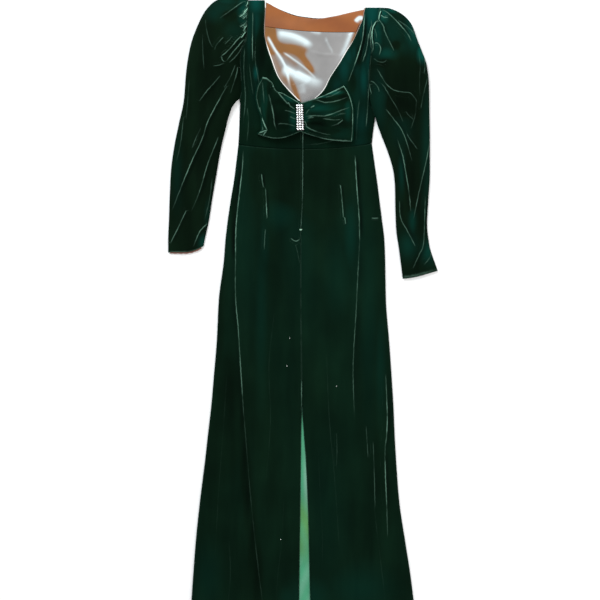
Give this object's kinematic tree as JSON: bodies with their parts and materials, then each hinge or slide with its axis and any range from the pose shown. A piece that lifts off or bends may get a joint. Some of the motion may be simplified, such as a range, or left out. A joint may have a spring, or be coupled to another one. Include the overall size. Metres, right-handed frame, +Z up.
{
  "type": "evening gown",
  "caption": "Full-length velvet evening gown laid flat, with puffed long sleeves, a deep V neck with a jewelled bow at its point and a centre slit in the skirt.",
  "frame": {"origin": "on the flat underside, on the centre line at the waist, where the back rests on the surface", "axes": "+Y along the gown from hem to neck, +Z up out of the surface through the shown side, +X across to the right sleeve as seen from above"},
  "size_m": [0.687, 1.566, 0.0344],
  "materials": {
    "velvet": "bottle-green velvet, deep pile",
    "satin_grey": "silver-grey lining satin, glossy",
    "satin_tan": "tan facing satin, glossy",
    "satin_mint": "mint-green lining satin, glossy",
    "satin_brown": "red-brown sleeve lining, glossy",
    "jewel_metal": "silver-plated clasp with clear stones"
  },
  "bodies": {
    "root": {"skirt_back": "velvet", "skirt_front_left": "velvet", "skirt_front_right": "velvet", "bodice_back": "velvet", "bodice_front_left": "velvet", "bodice_front_right": "velvet", "sleeve_left": "velvet", "sleeve_right": "velvet", "sleeve_under_left": "velvet", "sleeve_under_right": "velvet", "back_lining": "satin_grey", "neck_facing": "satin_tan", "neck_edge_left": "satin_grey", "neck_edge_right": "satin_grey", "zip_tape": "velvet", "slit_lining": "satin_mint", "cuff_lining_left": "satin_brown", "bow_left": "velvet", "bow_right": "velvet", "clasp": "jewel_metal"}
  },
  "joints": []
}
